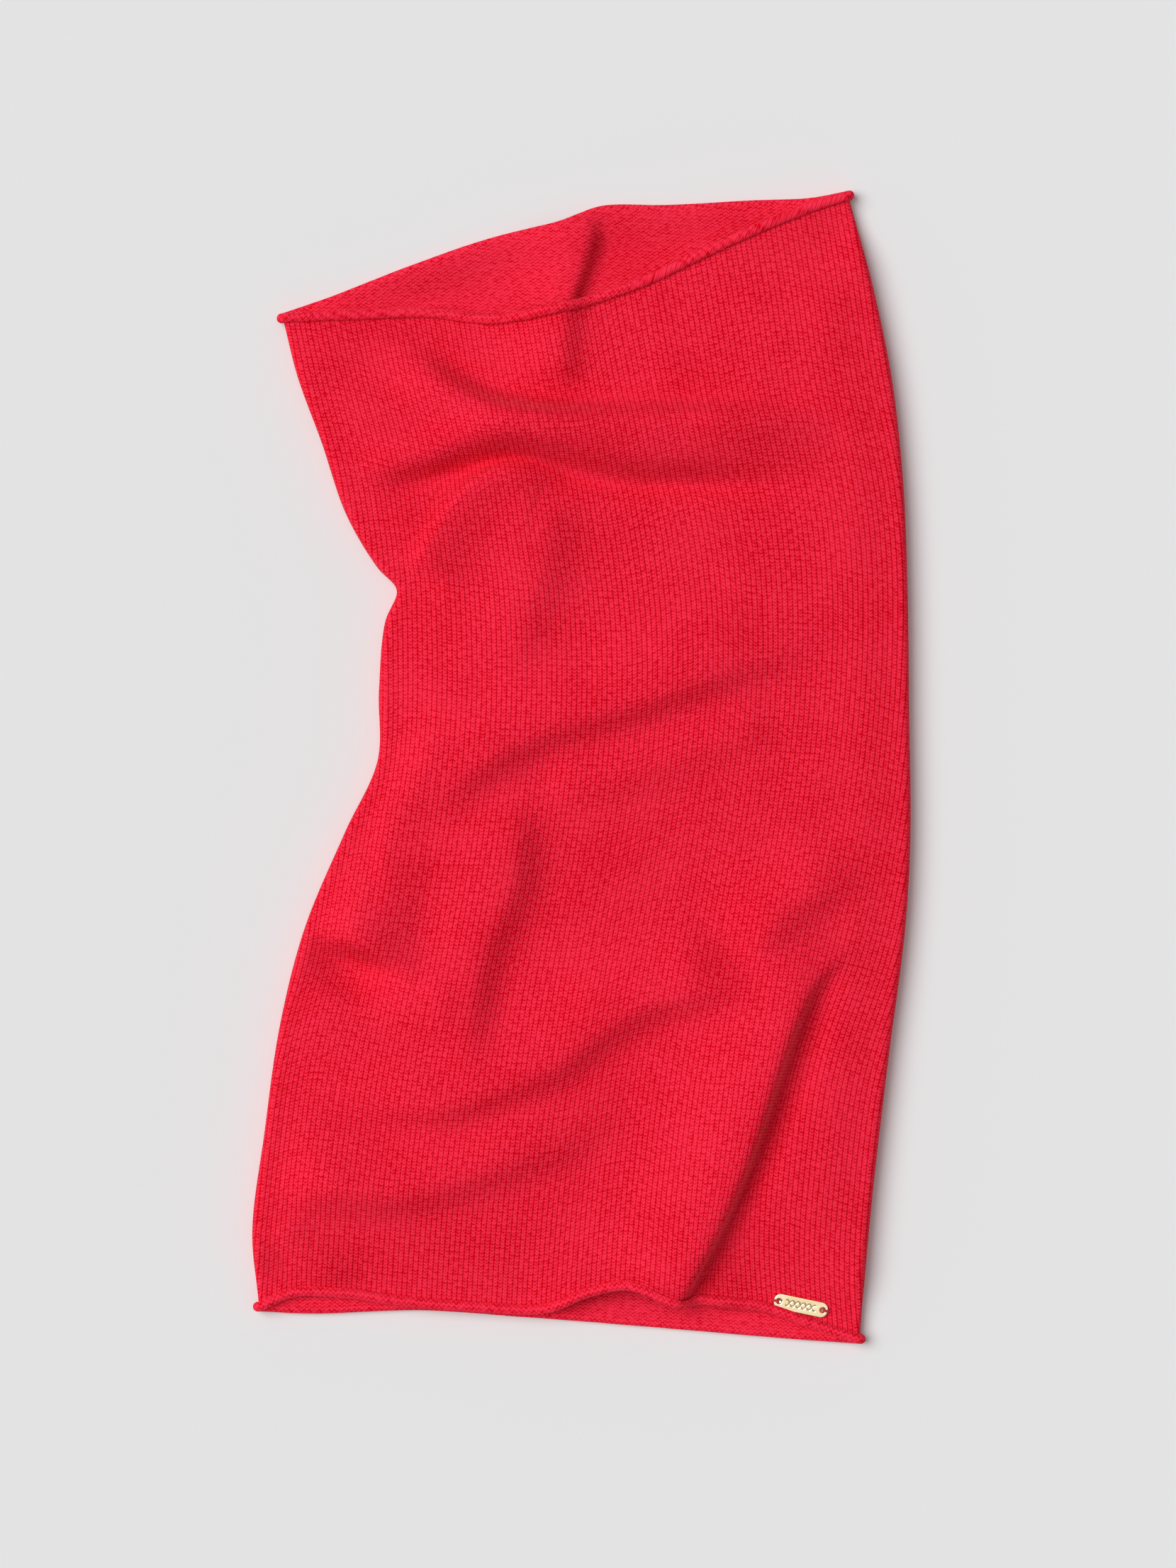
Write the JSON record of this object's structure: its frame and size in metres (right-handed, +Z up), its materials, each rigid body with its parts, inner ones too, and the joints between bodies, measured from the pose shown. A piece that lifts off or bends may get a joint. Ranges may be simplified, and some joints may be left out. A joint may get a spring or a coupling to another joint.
{
  "type": "neck gaiter",
  "caption": "Knitted wool neck gaiter lying flat: a wide stockinette tube with softly rolled edges and a small sewn-on metal plate.",
  "frame": {"origin": "on the surface that the gaiter lies on, under the middle of the laid piece", "axes": "+Z up from the surface, +Y along the tube towards its top edge, +X across it to the right as seen from above"},
  "size_m": [0.2572, 0.4512, 0.0246],
  "materials": {
    "knit": "fine brushed cashmere stockinette, coral red, soft halo of fibres",
    "rolled_edge": "the same knit curled outward, purl side showing, matt and fuzzy",
    "gold_plate": "polished pale gold plating with softly worn edges",
    "sewing_thread": "twisted crimson sewing thread, slightly glossy"
  },
  "bodies": {
    "root": {"front_panel": "knit", "back_panel": "knit", "left_side_fold": "knit", "right_side_fold": "knit", "top_front_roll": "rolled_edge", "low_front_roll": "rolled_edge", "top_back_roll": "rolled_edge", "low_back_roll": "rolled_edge", "name_plate": "gold_plate", "left_plate_stitch": "sewing_thread", "right_plate_stitch": "sewing_thread"}
  },
  "joints": []
}
